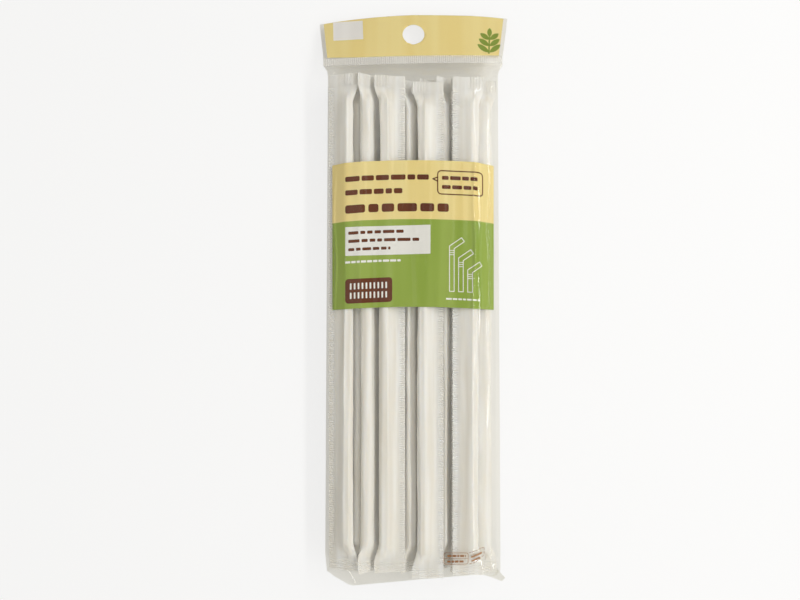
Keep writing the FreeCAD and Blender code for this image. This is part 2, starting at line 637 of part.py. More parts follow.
def bag():
    """The film bag: pouch, seal and header in one loft, hollowed, trimmed and punched."""
    body = doc.addObject("PartDesign::Body", "bag")
    body.Label = "bag"
    sheets = {row[0]: row for row in SHEETS}
    outside = [sheet_section(body, sheets["fold_edge"])]
    outside += [pouch_section(body, row, "0") for row in POUCH]
    outside += [sheet_section(body, sheets[name]) for name in ("seal_low", "seal_high", "header")]
    loft(body, "PartDesign::AdditiveLoft", "film_outside", outside)
    inside = [sheet_section(body, sheets["cavity_fold"])]
    inside += [pouch_section(body, row, "film_thickness") for row in POUCH]
    inside += [sheet_section(body, sheets["cavity_seal"])]
    loft(body, "PartDesign::SubtractiveLoft", "film_inside", inside)
    corner = body.newObject("PartDesign::Pad", "ear")
    corner.Profile = ear_outline(body)
    corner.setExpression("Length", bound("seam_sheet"))
    doc.recompute()
    cut_through(body, "flat_back", back_outline(body), False)
    cut_through(body, "crowned_top", top_edge(body), True)
    cut_through(body, "hang_hole", hang_hole_circle(body), False)
    return body


def main():
    """Builds every piece, checks it and writes it out."""
    fill_sheet()
    for name, text in DERIVED:
        derive(name, text)
    pieces = [wrapped_straw(*row) for row in STRAWS]
    pieces.append(bag())
    doc.recompute()
    for item in doc.Objects:
        if "Invalid" in item.State or "Error" in item.State:
            raise RuntimeError(f"{item.Name} failed: {item.State}")
    for piece in pieces:
        if piece.Shape.isNull() or not piece.Shape.isValid():
            raise RuntimeError(f"{piece.Label} has no valid shape")
    os.makedirs("parts", exist_ok=True)
    for piece in pieces:
        piece.Shape.exportStep(f"parts/{piece.Label}.step")
        box = piece.Shape.BoundBox
        print(f"{piece.Label}: {piece.Shape.Volume / 1000:.3f} cm3, x {box.XMin:.2f} {box.XMax:.2f},"
              f" y {box.YMin:.2f} {box.YMax:.2f}, z {box.ZMin:.2f} {box.ZMax:.2f}")


main()
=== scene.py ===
# %% [markdown]
# A clear film bag of twenty drinking straws, each sealed in a paper sleeve
#
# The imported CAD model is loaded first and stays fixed. Every piece made below takes its place and its
# size from it. The bag lies on its back with its printed front up: +X goes across it, +Y goes up to the
# header, and +Z points at the camera.

# %% Load the fixed frame
import json
import math
import random

import bpy
import numpy as np
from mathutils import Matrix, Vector, noise
from mathutils.bvhtree import BVHTree


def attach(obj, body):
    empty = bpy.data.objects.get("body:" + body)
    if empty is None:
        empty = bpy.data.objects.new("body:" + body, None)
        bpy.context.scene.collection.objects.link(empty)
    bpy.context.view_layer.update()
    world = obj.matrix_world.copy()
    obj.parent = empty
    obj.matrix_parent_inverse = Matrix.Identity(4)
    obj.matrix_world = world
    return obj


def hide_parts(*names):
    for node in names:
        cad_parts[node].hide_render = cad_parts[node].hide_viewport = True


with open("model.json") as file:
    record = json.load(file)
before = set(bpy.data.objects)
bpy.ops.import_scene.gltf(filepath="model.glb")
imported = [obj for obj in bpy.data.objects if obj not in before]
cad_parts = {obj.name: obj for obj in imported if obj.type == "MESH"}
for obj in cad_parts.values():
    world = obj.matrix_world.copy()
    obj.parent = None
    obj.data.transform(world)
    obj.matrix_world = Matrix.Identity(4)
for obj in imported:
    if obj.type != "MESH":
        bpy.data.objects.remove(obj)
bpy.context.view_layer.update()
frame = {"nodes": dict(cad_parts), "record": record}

# %% [markdown]
# A few small helpers keep the later cells short. Blender works in metres, and this object is measured in
# millimetres, so every size is written with MM. An operator acts on whatever is selected, so each piece
# starts with an empty selection.

# %% Small helpers
MM = 0.001
NEAR = 0.02 * MM
ACROSS, ALONG, UP = 0, 1, 2
SELECT_ALL = (bpy.ops.mesh.select_all, {"action": "SELECT"})


def clear_selection():
    """Leaves nothing selected, so that the next operator acts on the new piece alone."""
    if bpy.context.object and bpy.context.object.mode == "EDIT":
        bpy.ops.object.mode_set(mode="OBJECT")
    bpy.ops.object.select_all(action="DESELECT")


def points_of(piece):
    """The corners of a piece's mesh as an array with one row for each."""
    flat = np.empty(len(piece.data.vertices) * 3)
    piece.data.vertices.foreach_get("co", flat)
    return flat.reshape(-1, 3)


def move_points(piece, points):
    """Puts the corners of a piece's mesh at new places."""
    piece.data.vertices.foreach_set("co", np.asarray(points, float).ravel())
    piece.data.update()


def edit(piece, select="EDGE"):
    """Makes one piece the active one, with none of its corners, edges or faces selected."""
    clear_selection()
    bpy.context.view_layer.objects.active = piece
    piece.select_set(True)
    bpy.ops.object.mode_set(mode="EDIT")
    bpy.ops.mesh.select_mode(type=select)
    bpy.ops.mesh.select_all(action="DESELECT")
    bpy.ops.object.mode_set(mode="OBJECT")


def select_edges(piece, chosen):
    """Selects the edges that a test on their two ends chooses."""
    edit(piece)
    points = points_of(piece)
    for line in piece.data.edges:
        line.select = bool(chosen(points[line.vertices[0]], points[line.vertices[1]]))


def in_edit_mode(*steps):
    """Runs mesh operators in edit mode, on what the code before them selected."""
    bpy.ops.object.mode_set(mode="EDIT")
    for operator, settings in steps:
        operator(**settings)
    bpy.ops.object.mode_set(mode="OBJECT")


def face_outwards(piece):
    """Turns all faces of a closed piece outwards."""
    edit(piece)
    in_edit_mode(SELECT_ALL, (bpy.ops.mesh.normals_make_consistent, {"inside": False}))


def name_piece(piece, name):
    """Gives a piece and its mesh the same plain name."""
    piece.name = name
    piece.data.name = name
    return piece


def finish_piece(piece, material, slot, *stands_for):
    """Gives a piece its finish, sets it on the one body and hides the CAD nodes that it stands for."""
    piece.data.materials.clear()
    piece.data.materials.append(material)
    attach(piece, "root")
    if stands_for:
        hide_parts(*stands_for)
    print(piece.name, "has", len(piece.data.polygons), "faces")


# %% [markdown]
# Paper first. The sleeves are thin white paper: matt, a little warm, and never quite even, because the
# sheet is more see-through where its fibres are sparse. A noise that is stretched along the straw gives
# the soft streaks, and a fine one gives the tooth of the surface. Paper also lets light through, so the
# shader scatters it below the surface, more of the red than of the blue: that keeps the gaps between the
# sleeves pale and warm.

# %% The paper of the sleeves
PAPER_WARM = (0.84, 0.815, 0.76, 1)
PAPER_WHITE = (0.93, 0.925, 0.905, 1)
PAPER_STREAKS = (300, 14, 300)
TOOTH_SIZE = 2600
TOOTH_DEPTH = 0.05 * MM
LIGHT_REACH = 1.2 * MM
LIGHT_COLOURS = (1.0, 0.93, 0.82)


def new_material(name):
    """An empty material with its shader and the two ways to read a place on the piece."""
    material = bpy.data.materials.new(name)
    material.use_nodes = True
    nodes = material.node_tree.nodes
    shader = nodes["Principled BSDF"]
    place = nodes.new("ShaderNodeTexCoord").outputs["Object"]
    return material, nodes, material.node_tree.links, shader, place


def stretched_noise(nodes, links, place, scale, size, detail=3):
    """A noise over the piece's own coordinates, stretched by the scale along each axis."""
    mapping = nodes.new("ShaderNodeMapping")
    mapping.inputs["Scale"].default_value = scale
    links.new(place, mapping.inputs["Vector"])
    texture = nodes.new("ShaderNodeTexNoise")
    texture.inputs["Scale"].default_value = size
    texture.inputs["Detail"].default_value = detail
    links.new(mapping.outputs["Vector"], texture.inputs["Vector"])
    return texture.outputs["Fac"]


def two_colours(nodes, links, value, first, second, low=0.35, high=0.65):
    """Turns a value into a colour that runs from the first to the second."""
    ramp = nodes.new("ShaderNodeValToRGB")
    ramp.color_ramp.elements[0].position = low
    ramp.color_ramp.elements[0].color = first
    ramp.color_ramp.elements[1].position = high
    ramp.color_ramp.elements[1].color = second
    links.new(value, ramp.inputs["Fac"])
    return ramp.outputs["Color"]


def roughen(nodes, links, value, shader, strength, distance):
    """Lets a value raise the surface a little."""
    bump = nodes.new("ShaderNodeBump")
    bump.inputs["Strength"].default_value = strength
    bump.inputs["Distance"].default_value = distance
    links.new(value, bump.inputs["Height"])
    links.new(bump.outputs["Normal"], shader.inputs["Normal"])


def mix_at_surface(nodes, links, first, second):
    """Mixes two shaders at the surface, and returns the socket for the second one's share."""
    mix = nodes.new("ShaderNodeMixShader")
    links.new(first, mix.inputs[1])
    links.new(second, mix.inputs[2])
    links.new(mix.outputs["Shader"], nodes["Material Output"].inputs["Surface"])
    return mix.inputs["Fac"]


def paper():
    """Thin white paper with streaks along the straw and a fine tooth."""
    material, nodes, links, shader, place = new_material("sleeve_paper")
    streaks = stretched_noise(nodes, links, place, PAPER_STREAKS, 1)
    links.new(two_colours(nodes, links, streaks, PAPER_WARM, PAPER_WHITE), shader.inputs["Base Color"])
    tooth = stretched_noise(nodes, links, place, (1, 1, 1), TOOTH_SIZE, 4)
    roughen(nodes, links, tooth, shader, 0.35, TOOTH_DEPTH)
    shader.inputs["Roughness"].default_value = 0.68
    shader.inputs["Specular IOR Level"].default_value = 0.35
    shader.inputs["Subsurface Weight"].default_value = 0.55
    shader.inputs["Subsurface Radius"].default_value = LIGHT_COLOURS
    shader.inputs["Subsurface Scale"].default_value = LIGHT_REACH
    return material


sleeve_paper = paper()
print("made", sleeve_paper.name)

# %% [markdown]
# A wrapped straw is a strip of paper folded round a 6 mm straw. The paper leaves the straw on both sides,
# meets at a seam, and goes on as a narrow ribbed strip. At both ends it runs flat and is crimped shut.
# One sleeve is modelled as a cylinder whose rings are cut every half millimetre, so that the ribs of the
# seam are real folds. Its rings are then moved from the flat end to the section round the straw. The
# section is a list of corners in order, from the seam's tip over the straw and back under it.

# %% The section of a sleeve, round and flat
STRAW_RADIUS = 3.15 * MM
SEAM_ROOT = 5.9 * MM
SEAM_TIP = 9.0 * MM
FLAT_FOLD = 5.6 * MM
HALF_PAPER = 0.14 * MM
ARC_POINTS = 20


def sleeve_sections():
    """The corners of the section round the straw and of the flat one, each as across and up."""
    leave = math.acos(STRAW_RADIUS / SEAM_ROOT)
    angles = [leave + (2 * math.pi - 2 * leave) * i / (ARC_POINTS - 1) for i in range(ARC_POINTS)]
    arc = [(STRAW_RADIUS * math.cos(a), STRAW_RADIUS * math.sin(a)) for a in angles]
    seam = [(SEAM_TIP, HALF_PAPER), ((SEAM_TIP + SEAM_ROOT) / 2, HALF_PAPER), (SEAM_ROOT, HALF_PAPER)]
    slope = [((SEAM_ROOT + arc[0][0]) / 2, (HALF_PAPER + arc[0][1]) / 2)]
    upper = seam + slope
    lower = [(across, -up) for across, up in reversed(upper)]
    round_section = np.array(upper + arc + lower)
    steps = np.hypot(*np.diff(round_section, axis=0).T)
    walked = np.concatenate(([0], np.cumsum(steps)))
    half = walked[-1] / 2
    share = 1 - np.abs(walked - half) / half
    flat_section = np.column_stack((
        SEAM_TIP - share * (SEAM_TIP + FLAT_FOLD),
        np.where(walked < half, HALF_PAPER, -HALF_PAPER)))
    return round_section, flat_section


round_section, flat_section = sleeve_sections()
print("a sleeve's section has", len(round_section), "corners")

# %% [markdown]
# The sleeve starts as a cylinder along Y. Its long edges are selected and subdivided into stations. At
# the top crimp the short edges are divided once more, because the crimping wheels left ribs that run
# along the straw there, and across it at the bottom.

# %% One sleeve as a straight tube with stations
HALF_LENGTH = 113 * MM
STATION_CUTS = (56, 7)
STATION = 2 * HALF_LENGTH / ((STATION_CUTS[0] + 1) * (STATION_CUTS[1] + 1))
CRIMP = 107.5 * MM
ROUND_END = 99.5 * MM
SECTION_CORNERS = len(round_section)


def straight_tube():
    """A closed cylinder along Y, cut into stations, with extra cuts across its upper crimp."""
    clear_selection()
    bpy.ops.mesh.primitive_cylinder_add(vertices=SECTION_CORNERS, radius=STRAW_RADIUS,
                                        depth=2 * HALF_LENGTH, rotation=(math.pi / 2, 0, 0))
    tube = name_piece(bpy.context.object, "sleeve")
    bpy.ops.object.transform_apply(rotation=True)
    for cuts in STATION_CUTS:
        select_edges(tube, lambda first, second: abs(first[ALONG] - second[ALONG]) > STATION)
        in_edit_mode((bpy.ops.mesh.subdivide, {"number_cuts": cuts}))
    select_edges(tube, lambda first, second: abs(first[ALONG] - second[ALONG]) < STATION / 2
                 and first[ALONG] > CRIMP - STATION / 2)
    in_edit_mode((bpy.ops.mesh.subdivide, {"number_cuts": 1}))
    return tube


sleeve = straight_tube()
print("the tube has", len(sleeve.data.vertices), "corners")

# %% [markdown]
# Each corner of the tube now moves to its place on the section. How flat the paper lies depends on how
# far along it is, with a smooth change between the straw's end and the crimp. The seam's ribs are one up
# and one down, a station each, and so are the ribs of the lower crimp.

# %% Shape the sleeve
SEAM_RIB = 0.19 * MM
CRIMP_RIB = 0.13 * MM
SEAM_START = SEAM_ROOT + 0.2 * MM


def smooth_step(value):
    """Goes from 0 to 1 with no kink at either end."""
    value = np.clip(value, 0, 1)
    return value * value * (3 - 2 * value)


def shape_sleeve(tube):
    """Moves the tube's corners to the sleeve's form: round, tapering, flat and ribbed."""
    points = points_of(tube)
    turn = np.arctan2(points[:, UP], points[:, ACROSS]) / (2 * math.pi) % 1
    corner = turn * SECTION_CORNERS
    order = np.arange(SECTION_CORNERS + 1)
    along = points[:, ALONG]
    station = np.round((along + HALF_LENGTH) / STATION).astype(int)
    flatness = smooth_step((np.abs(along) - ROUND_END) / (CRIMP - ROUND_END))
    for axis, column in ((ACROSS, 0), (UP, 1)):
        loop_round = np.append(round_section[:, column], round_section[0, column])
        loop_flat = np.append(flat_section[:, column], flat_section[0, column])
        rounded = np.interp(corner, order, loop_round)
        flat = np.interp(corner, order, loop_flat)
        points[:, axis] = rounded + (flat - rounded) * flatness
    up_down = np.where(station % 2 == 0, 1.0, -1.0)
    seam = (points[:, ACROSS] > SEAM_START) & (np.abs(along) < CRIMP)
    points[seam, UP] += SEAM_RIB * up_down[seam]
    lower = along < -CRIMP - STATION / 2
    points[lower, UP] += CRIMP_RIB * up_down[lower]
    upper = along > CRIMP + STATION / 2
    between = np.abs(corner - np.round(corner)) > 0.25
    points[upper, UP] += CRIMP_RIB * np.where(between, 1.0, -1.0)[upper]
    move_points(tube, points)


shape_sleeve(sleeve)
face_outwards(sleeve)
print("shaped", sleeve.name)

# %% [markdown]
# Where each wrapped straw lies is read from its CAD solid. The solid's flat end shows which way the seam
# points, and its highest point over that flat shows where the straw's axis is. The copies are dented a
# little, each in its own way, as thin paper is, and their ends turn by a few degrees. No paper reaches
# below the film that the pack rests on.

# %% Lay the twenty sleeves
STRAW_NODES = sorted(node for node in frame["nodes"] if node.startswith("wrapped_straw"))
CREASE = 1.0 * MM
DENT = 0.55 * MM
FACET_ACROSS, FACET_ALONG = 330, 7
DENT_ACROSS, DENT_ALONG = 150, 45
NEXT_SLEEVE = 9
END_SLICE = 0.1 * MM
END_SWAY = 0.9 * MM
PRESSED = 0.15 * MM


def lie_of(node):
    """Where a straw lies: a point on its axis, and the directions to its seam and up."""
    points = points_of(frame["nodes"][node])
    low, high = points.min(axis=0), points.max(axis=0)
    end = points[points[:, ALONG] > high[ALONG] - END_SLICE]
    left = end[end[:, ACROSS] < end[:, ACROSS].min() + MM].mean(axis=0)
    right = end[end[:, ACROSS] > end[:, ACROSS].max() - MM].mean(axis=0)
    width = np.hypot(*(right - left)[[ACROSS, UP]])
    out = (right - left) / width
    up = np.array([-out[UP], 0, out[ACROSS]])
    lifted = (points - left) @ up
    top = points[lifted > lifted.max() - NEAR]
    share = ((top - left) @ out).mean()
    heading = 1 if share < width / 2 else -1
    axis = left + out * share
    axis[ALONG] = (low[ALONG] + high[ALONG]) / 2
    return axis, out * heading, up


def crease(points, seed):
    """How far thin paper sinks in: flat facets with sharp ridges between them, and a few soft dents."""
    moves = np.empty(len(points))
    for i, (across, along, up) in enumerate(points):
        start = NEXT_SLEEVE * seed
        facet = noise.noise(Vector((across * FACET_ACROSS, along * FACET_ALONG + start, up * FACET_ACROSS)))
        dent = noise.noise(Vector((across * DENT_ACROSS, along * DENT_ALONG - start, up * DENT_ACROSS)))
        moves[i] = CREASE * abs(facet) + DENT * abs(dent)
    return moves


def lay_sleeve(node, seed):
    """A copy of the sleeve with its own mesh, creased and laid where its CAD node is."""
    piece = sleeve.copy()
    piece.data = sleeve.data.copy()
    bpy.context.scene.collection.objects.link(piece)
    name_piece(piece, "paper_sleeve_" + node[-2:])
    axis, out, up = lie_of(node)
    points = points_of(sleeve)
    outward = points * (1, 0, 1)
    outward /= np.maximum(np.linalg.norm(outward, axis=1), 1e-9)[:, None]
    depth = crease(points, seed)
    on_straw = (points[:, ACROSS] < SEAM_ROOT) & (np.abs(points[:, ALONG]) < CRIMP)
    points -= outward * (depth * on_straw)[:, None]
    rng = random.Random(seed)
    for end in (-1, 1):
        share = np.clip((points[:, ALONG] * end - ROUND_END) / (HALF_LENGTH - ROUND_END), 0, 1)
        points[:, UP] += rng.uniform(-1, 1) * END_SWAY * share ** 2
    placed = axis + np.outer(points[:, ACROSS], out) + np.outer(points[:, UP], up)
    placed[:, ALONG] += points[:, ALONG]
    placed[:, UP] = np.maximum(placed[:, UP], PRESSED)
    move_points(piece, placed)
    face_outwards(piece)
    finish_piece(piece, sleeve_paper, "paper", node)
    return piece


sleeves = [lay_sleeve(node, seed) for seed, node in enumerate(STRAW_NODES, 1)]
bpy.data.objects.remove(sleeve)
for piece in sleeves:
    edit(piece)
    bpy.ops.object.shade_smooth_by_angle(angle=math.radians(40))

# %% [markdown]
# The film bag is one length of clear film, folded at the bottom and sealed at the top. It is pulled
# tight round the straws, so its front is what a string does when it is drawn over them: it touches the
# highest ones and runs straight between. That line is worked out across the bag and then along it. The
# bag's outline, seen from the front, is measured on the CAD bag.

# %% Measure the outline of the bag
bag_node = frame["nodes"]["bag"]
bag_points = points_of(bag_node)
bag_edges = np.array([edge.vertices[:] for edge in bag_node.data.edges])
bag_faces = [face.vertices[:] for face in bag_node.data.polygons]
bag_surface = BVHTree.FromPolygons([Vector(p) for p in bag_points], bag_faces)

SEAL_TOP = 113.6 * MM
SEAL_FOOT = 110.0 * MM
FOLD_START = -113.0 * MM


def cut_at(axis, place):
    """The points where a plane across the CAD bag cuts its edges."""
    first, second = bag_points[bag_edges[:, 0]], bag_points[bag_edges[:, 1]]
    before, after = first[:, axis] - place, second[:, axis] - place
    crossed = before * after < 0
    share = before[crossed] / (before[crossed] - after[crossed])
    return first[crossed] + share[:, None] * (second[crossed] - first[crossed])


def side_at(along, side):
    """The point of the bag's side at a place along it: side -1 is the left one, 1 the right one."""
    points = cut_at(ALONG, along)
    reach = (points[:, ACROSS] * side).max()
    return points[points[:, ACROSS] * side > reach - NEAR].mean(axis=0)


def end_at(across, end):
    """How far the bag reaches at a place across it: end 1 is the header's edge, -1 the bottom's."""
    return end * (cut_at(ACROSS, across)[:, ALONG] * end).max()


def corner_towards(across, along):
    """The corner of the bag that lies furthest in a direction."""
    return bag_points[(bag_points[:, ACROSS] * across + bag_points[:, ALONG] * along).argmax()]


top_left = corner_towards(-1, 0.6)
top_right = corner_towards(1, 0.6)
bottom_left = corner_towards(-0.5, -0.85)
ear_tip = corner_towards(1, -0.9)
print("corners of the bag:", top_left, top_right, bottom_left, ear_tip)

# %% [markdown]
# The film is laid out as rows of points. A row of the body runs straight across. The rows of the header
# and of the bottom bend gradually, so that the last one follows the real edge: a low arch at the header,
# and a slanting fold with an ear at the bottom.

# %% Lay out the rows of the film
COLUMNS = 150
HEADER_ROWS, SEAL_ROWS, NECK_ROWS, BODY_ROWS, BOTTOM_ROWS = 22, 3, 26, 150, 34
NECK = 98.0 * MM


def straight_row(along, columns):
    """The places of a row that runs straight from side to side."""
    left, right = side_at(along, -1)[ACROSS], side_at(along, 1)[ACROSS]
    return np.column_stack((left + (right - left) * columns, np.full(len(columns), along)))


def bent_row(share, start, left_corner, right_corner, end, columns):
    """A row between a straight start and the bag's edge: share 0 is the start, 1 the edge itself."""
    sides = []
    for corner, side in ((left_corner, -1), (right_corner, 1)):
        along = start + share * (corner[ALONG] - start)
        across = side_at(along, side)[ACROSS] if share < 0.97 else corner[ACROSS]
        sides.append(np.array([across, along]))
    corners = np.array([left_corner[:2], right_corner[:2]])
    row = sides[0] + np.outer(columns, sides[1] - sides[0])
    chord = corners[0] + np.outer(columns, corners[1] - corners[0])
    inside = np.clip(chord[:, 0], corners[0][0] + NEAR, corners[1][0] - NEAR)
    edge = np.array([end_at(across, end) for across in inside])
    edge[0], edge[-1] = corners[0][1], corners[1][1]
    row[:, 1] += share * (edge - chord[:, 1])
    return row


def lay_rows(columns, header=HEADER_ROWS):
    """All rows of the film, from the bottom edge to the header's edge."""
    bottom = [bent_row(1 - i / BOTTOM_ROWS, FOLD_START, bottom_left, ear_tip, -1, columns)
              for i in range(BOTTOM_ROWS)]
    places = np.concatenate((
        np.linspace(FOLD_START, NECK, BODY_ROWS, endpoint=False),
        np.linspace(NECK, SEAL_FOOT, NECK_ROWS, endpoint=False),
        np.linspace(SEAL_FOOT, SEAL_TOP, SEAL_ROWS, endpoint=False)))
    middle = [straight_row(along, columns) for along in places]
    top = [bent_row(i / header, SEAL_TOP, top_left, top_right, 1, columns) for i in range(header + 1)]
    return np.array(bottom + middle + top)


shares = (1 + np.sin(np.linspace(-math.pi / 2, math.pi / 2, COLUMNS + 1))) / 2
columns = 0.45 * shares + 0.55 * np.linspace(0, 1, COLUMNS + 1)
film_rows = lay_rows(columns)
SEAL_ROW = BOTTOM_ROWS + BODY_ROWS + NECK_ROWS
print("film rows and columns:", film_rows.shape[:2])

# %% [markdown]
# Now the heights. A ray from above finds the highest paper at each point of the rows, and one from below
# finds the lowest. The film is drawn over those points with a little clearance, first across, then along.
# Over the uneven ends of the straws it is evened out, because real film bridges them in broad folds.
# In the header, and on the outline, it follows the CAD bag itself.

# %% Draw the film tight round the straws
CLEARANCE = 0.26 * MM
FAR = 1.0
LOW_POINT = -FAR
SIDE_LEVEL = 6 * MM
EDGE_HEIGHT = 0.5 * MM
SLOPE_LOW, SLOPE_HIGH = -113 * MM, 97 * MM
SLOPE_CHANGE = 6 * MM
EVENING = (10, 7, 5)
BACK_LOW = 0.02 * MM
THINNEST = 0.12 * MM


def surface_of(pieces):
    """All faces of several pieces in one tree that rays can be cast at."""
    corners, faces = [], []
    for piece in pieces:
        first = len(corners)
        corners += [vertex.co.copy() for vertex in piece.data.vertices]
        faces += [[first + i for i in face.vertices] for face in piece.data.polygons]
    return BVHTree.FromPolygons(corners, faces)


def height_at(surface, place, side):
    """The highest point of a surface over a place, or the lowest one for side -1, or None."""
    hit = surface.ray_cast(Vector((*place, side * FAR)), Vector((0, 0, -side)))[0]
    return hit.z if hit else None


def tight(places, heights):
    """The heights of a string that is drawn over points from the first to the last."""
    hull = []
    for point in zip(places, heights):
        while len(hull) > 1:
            (x1, z1), (x2, z2) = hull[-2:]
            if (x2 - x1) * (point[1] - z1) < (z2 - z1) * (point[0] - x1):
                break
            hull.pop()
        hull.append(point)
    return np.interp(places, *zip(*hull))


def side_level(along, side):
    """The height at which front and back of the film meet, at one side of the bag."""
    if along > top_left[ALONG] - 0.5 * MM:
        return (top_left if side < 0 else top_right)[UP]
    return side_at(along, side)[UP]


def outline_height(rows, j, i, side):
    """The film's height where it ends, and in the header, where it follows the CAD bag."""
    if j == 0:
        return EDGE_HEIGHT if side > 0 else 0
    if i in (0, COLUMNS):
        return side_level(rows[j, i, 1], -1 if i == 0 else 1)
    inner = rows[j, i] + 0.1 * (rows[j - 1, i] - rows[j, i]) if j == len(rows) - 1 else rows[j, i]
    found = height_at(bag_surface, inner, side)
    if found is None:
        found = bag_surface.find_nearest(Vector((*inner, SIDE_LEVEL)))[0].z
    return found


def even_out(heights, spread, share):
    """Evens out the heights across the bag, in each row by its own share."""
    offsets = np.arange(-2 * spread, 2 * spread + 1)
    weights = np.exp(-(offsets / spread) ** 2)
    weights /= weights.sum()
    padded = np.pad(heights, ((0, 0), (2 * spread, 2 * spread)), mode="edge")
    evened = np.array([np.convolve(row, weights, mode="valid") for row in padded])
    evened[:, [0, -1]] = heights[:, [0, -1]]
    return heights + share[:, None] * (evened - heights)


def draw_film(rows, side):
    """The heights of the film's front, for side 1, or of its back, for side -1."""
    straws = surface_of(sleeves)
    heights = np.full(rows.shape[:2], LOW_POINT)
    for j, row in enumerate(rows):
        for i, place in enumerate(row):
            if i in (0, COLUMNS) or j == 0 or j >= SEAL_ROW:
                heights[j, i] = side * outline_height(rows, j, i, side)
            else:
                found = height_at(straws, place, side)
                if found is not None:
                    heights[j, i] = side * found + CLEARANCE
    touched = heights.copy()
    for j in range(1, SEAL_ROW):
        heights[j] = tight(rows[j, :, 0], heights[j])
    for i in range(1, COLUMNS):
        heights[:SEAL_ROW + 1, i] = tight(rows[:SEAL_ROW + 1, i, 1], heights[:SEAL_ROW + 1, i])
    middle = rows[:, COLUMNS // 2, 1]
    share = np.maximum(smooth_step((SLOPE_LOW - middle) / SLOPE_CHANGE),
                       smooth_step((middle - SLOPE_HIGH) / SLOPE_CHANGE))
    share[0] = 0
    share[SEAL_ROW:] = 0
    for spread in EVENING:
        heights = np.maximum(even_out(heights, spread, share), touched)
    rounded = (np.arange(len(rows)) > 0) & (np.arange(len(rows)) < SEAL_ROW)
    heights = np.maximum(even_out(heights, 3, rounded * 1.0), touched)
    heights = even_out(heights, 2, share)
    return side * heights


front = draw_film(film_rows, 1)
back = np.maximum(draw_film(film_rows, -1), BACK_LOW)
back = np.minimum(back, front - THINNEST)
print("film heights, front and back:", front.max(), back.min())


# %% [markdown]
# Real film is never quite smooth. It keeps long creases along the straws, and it is gathered into sharp
# folds where it narrows below the seal and round its corners. The long creases are a noise that is
# stretched along the bag. The sharp folds are listed one by one, by where each begins and ends.

# %% Creases of the film
LONG_CREASE = 0.22 * MM
GATHER = 0.9 * MM
EDGE_CALM = 0.06
FINE_ACROSS, FINE_ALONG = 330, 16
GATHER_ACROSS, GATHER_ALONG = 130, 330
GATHER_PLACE, GATHER_REACH = 106 * MM, 4 * MM
WANDER, WANDER_LENGTH = 0.5 * MM, 7
LONG_FOLD = 30 * MM
FOLDS = [
    (-31, 108.2, -21, 108.9, 0.8, 0.5), (-33, 105.6, -17, 107.0, 0.8, 0.6),
    (-30, 102.5, -24, 106.5, 0.9, 0.6), (-36, 99.0, -33, 106.0, 0.9, 0.7),
    (-37.0, 103.0, -26.0, 104.4, 0.7, 0.5), (12.0, 103.4, 24.0, 105.2, 0.6, 0.6),
    (33.0, 104.5, 38.5, 108.3, 1.2, 0.6), (31.5, 100.5, 36.5, 105.5, 1.2, 0.6),
    (29.5, 97.5, 33.5, 103.5, 1.0, 0.7), (35.5, 95.0, 37.0, 103.0, 1.0, 0.6),
    (27.0, 101.0, 31.5, 107.0, 0.9, 0.5), (36.0, 99.0, 40.5, 104.0, 0.9, 0.5),
    (-38.0, -84.0, -37.2, -72.0, 0.8, 0.5), (-38.4, -113.0, -36.4, -107.5, 0.9, 0.6),
    (-35.5, -122.0, -30.0, -117.0, 0.7, 0.7), (31.0, -121.0, 41.0, -129.5, 0.9, 0.7),
    (35.0, -112.0, 38.0, -124.0, 0.8, 0.7), (-26.0, -131.5, -25.4, -135.0, 0.5, 0.5),
    (-18.4, -131.0, -17.8, -135.0, 0.5, 0.5), (26.5, -100.0, 27.6, 94.0, 0.8, 1.0),
    (30.2, -50.0, 29.6, 90.0, 0.6, 0.8), (34.6, -70.0, 34.9, 95.0, 0.8, 0.8),
    (-35.6, -20.0, -36.2, 60.0, 0.5, 0.5),
]


def fold_height(place, fold):
    """How far one sharp fold lifts the film at a place: highest along its line, nothing at its ends."""
    x1, y1, x2, y2, height, width = (value * MM for value in fold)
    run = np.array([x2 - x1, y2 - y1])
    length = np.hypot(*run)
    offset = place - (x1, y1)
    share = offset @ run / length ** 2
    wander = WANDER * np.sin(place[..., 1] / MM / WANDER_LENGTH + x1 / MM) * min(1, length / LONG_FOLD)
    away = (offset[..., 0] * run[1] - offset[..., 1] * run[0]) / length + wander
    rise = np.clip(share * (1 - share) * 4, 0, 1) ** 0.5 * ((share > 0) & (share < 1))
    return height * rise * np.exp(-(away / width) ** 2)


def film_creases(rows):
    """How far the creases lift the film at each point of its rows."""
    lift = np.zeros(rows.shape[:2])
    for fold in FOLDS:
        lift += fold_height(rows, fold)
    for j, row in enumerate(rows):
        for i, (across, along) in enumerate(row):
            fine = noise.noise(Vector((across * FINE_ACROSS, along * FINE_ALONG, 3)))
            gather = noise.noise(Vector((across * GATHER_ACROSS, along * GATHER_ALONG, 7)))
            neck = math.exp(-((along - GATHER_PLACE) / GATHER_REACH) ** 2)
            lift[j, i] += LONG_CREASE * max(0, fine) + GATHER * max(0, gather) * neck
    calm = np.clip(np.minimum(columns, 1 - columns) / EDGE_CALM, 0, 1)
    lift *= calm
    lift[SEAL_ROW:] = 0
    lift[0] = 0
    return lift


front += film_creases(film_rows)

# %% [markdown]
# The film's mesh starts as a flat grid of as many faces as there are rows and columns. Its corners go to
# the rows, the hang hole is cut by deleting the faces inside the circle and drawing the rest up to it,
# and the whole sheet is then extruded: that makes the back and closes every edge in one step. Last, the
# corners that the extrusion made go to the heights of the back.

# %% Model the film bag
HOLE = frame["record"]["mounts"][0]
HOLE_PLACE = np.array(HOLE["pos_m"][:2])
HOLE_RADIUS = HOLE["dims"]["r_mm"] * MM
HOLE_TILT = HOLE["axis"][UP]
RIM_REACH = 1.5 * HOLE_RADIUS


